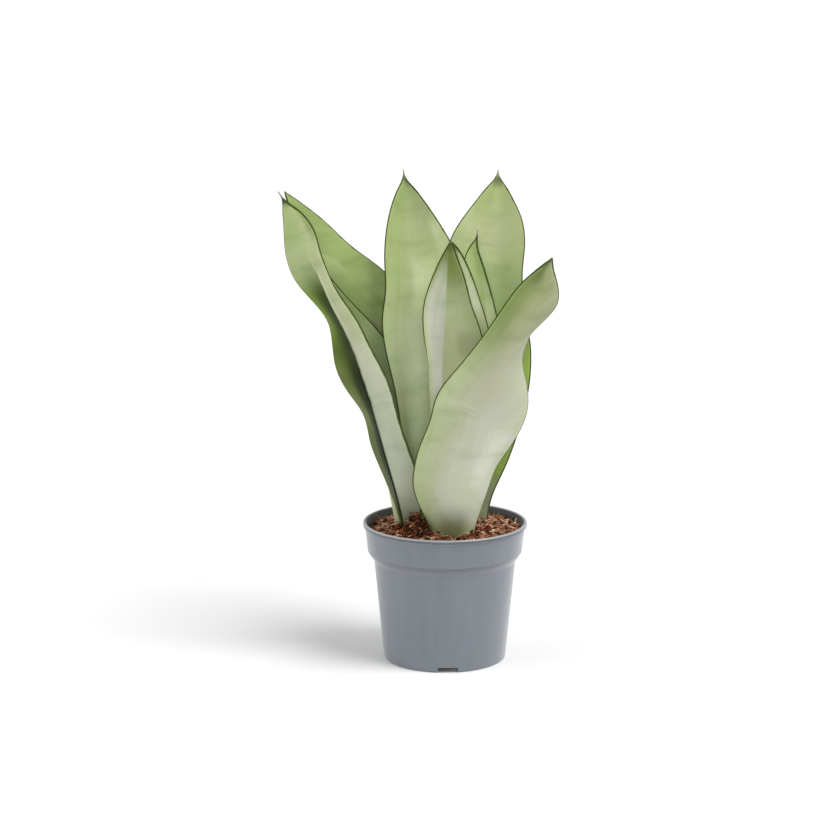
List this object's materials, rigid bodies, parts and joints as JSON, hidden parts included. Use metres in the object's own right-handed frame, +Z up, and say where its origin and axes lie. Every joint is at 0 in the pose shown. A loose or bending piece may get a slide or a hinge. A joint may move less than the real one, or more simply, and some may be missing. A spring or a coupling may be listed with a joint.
{
  "type": "potted moonshine snake plant",
  "caption": "Upright foliage plant: a rosette of broad, keeled, pale silvery-green leaves with waved margins, in soil in a round grey nursery pot.",
  "frame": {"origin": "centre of the pot's flat base, on the surface that the pot stands on", "axes": "+Z up along the pot's axis, -Y towards the side that the front leaf faces, +X to the right of a viewer there"},
  "size_m": [0.1965, 0.12, 0.3557],
  "materials": {
    "pot_plastic": "injection-moulded grey polypropylene with a soft satin surface",
    "potting_soil": "dry reddish-brown coir chips, fibres and peat",
    "leaf_blade": "smooth waxy skin, pale silvery green with a thin dark margin"
  },
  "bodies": {
    "root": {"pot": "pot_plastic", "soil": "potting_soil", "leaf_left_front": "leaf_blade", "leaf_left_back": "leaf_blade", "leaf_tall_left": "leaf_blade", "leaf_tall_right": "leaf_blade", "leaf_heart_front": "leaf_blade", "leaf_heart_back": "leaf_blade", "leaf_heart_right": "leaf_blade", "leaf_front_right": "leaf_blade"}
  },
  "joints": []
}
